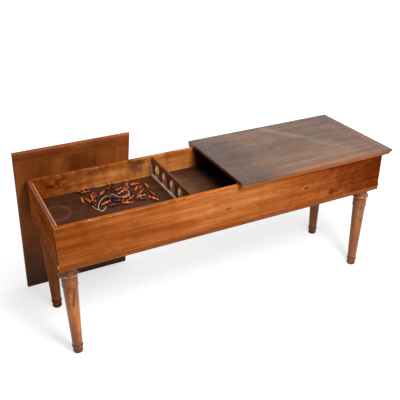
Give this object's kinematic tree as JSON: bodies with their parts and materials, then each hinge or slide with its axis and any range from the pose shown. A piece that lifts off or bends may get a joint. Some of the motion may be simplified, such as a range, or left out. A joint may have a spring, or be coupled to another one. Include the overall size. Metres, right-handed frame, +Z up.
{
  "type": "games table",
  "caption": "Long wooden games table: open case on turned legs, arched divider on a sunken play floor, loose pins, spinning top and cord, and a top in two lift-off halves.",
  "frame": {"origin": "on the floor, under the middle of the whole part, the leaning half top included and the cord left out", "axes": "+X along the case towards its covered end, +Y from the front to the back where the loose half top leans, +Z up"},
  "size_m": [1.899, 0.7812, 0.9176],
  "materials": {
    "case_wood": "old wax polish",
    "moulding_wood": "old wax polish",
    "leg_wood": "old wax polish",
    "top_wood": "worn, dull",
    "floor_wood": "worn, dull",
    "hidden_wood": "bare",
    "divider_wood": "worn",
    "strip_wood": "bare",
    "pin_wood": "polished",
    "spinning_top_wood": "polished",
    "cord": "twisted cotton"
  },
  "bodies": {
    "case": {"arched_divider": "divider_wood", "back_base_moulding": "moulding_wood", "back_bearer": "hidden_wood", "back_board": "case_wood", "back_divider_cleat": "strip_wood", "back_floor_plank": "floor_wood", "back_left_block": "hidden_wood", "back_left_leg": "leg_wood", "back_right_block": "hidden_wood", "back_right_leg": "leg_wood", "divider_sill": "strip_wood", "front_base_moulding": "moulding_wood", "front_bearer": "hidden_wood", "front_board": "case_wood", "front_divider_cleat": "strip_wood", "front_floor_plank": "floor_wood", "front_left_block": "hidden_wood", "front_left_leg": "leg_wood", "front_right_block": "hidden_wood", "front_right_leg": "leg_wood", "left_base_moulding": "moulding_wood", "left_bearer": "hidden_wood", "left_cross_bearer": "hidden_wood", "left_end_board": "case_wood", "middle_cross_bearer": "hidden_wood", "middle_floor_plank": "floor_wood", "right_base_moulding": "moulding_wood", "right_bearer": "hidden_wood", "right_cross_bearer": "hidden_wood", "right_end_board": "case_wood"},
    "right_top": {"right_top_back_moulding": "moulding_wood", "right_top_back_plank": "top_wood", "right_top_clamp": "top_wood", "right_top_end_moulding": "moulding_wood", "right_top_front_moulding": "moulding_wood", "right_top_front_plank": "top_wood", "right_top_inner_batten": "hidden_wood", "right_top_middle_plank": "top_wood", "right_top_outer_batten": "hidden_wood"},
    "left_top": {"left_top_back_moulding": "moulding_wood", "left_top_back_plank": "top_wood", "left_top_clamp": "top_wood", "left_top_end_moulding": "moulding_wood", "left_top_front_moulding": "moulding_wood", "left_top_front_plank": "top_wood", "left_top_inner_batten": "hidden_wood", "left_top_middle_plank": "top_wood", "left_top_outer_batten": "hidden_wood"},
    "game_pieces": {"lying_pins": "pin_wood", "standing_pins": "pin_wood", "spinning_top": "spinning_top_wood", "pull_cord": "cord", "cord_tail": "cord", "cord_knot": "cord"}
  },
  "joints": [
    {"name": "right_top_lift", "type": "slide", "parent": "case", "child": "right_top", "axis": [0, 0, 1], "range_m": [0, 0.3]},
    {"name": "left_top_lift", "type": "slide", "parent": "case", "child": "left_top", "axis": [0, 0, 1], "range_m": [0, 0.85]},
    {"name": "game_pieces_lift", "type": "slide", "parent": "case", "child": "game_pieces", "axis": [0, 0, 1], "range_m": [0, 0.12]}
  ]
}
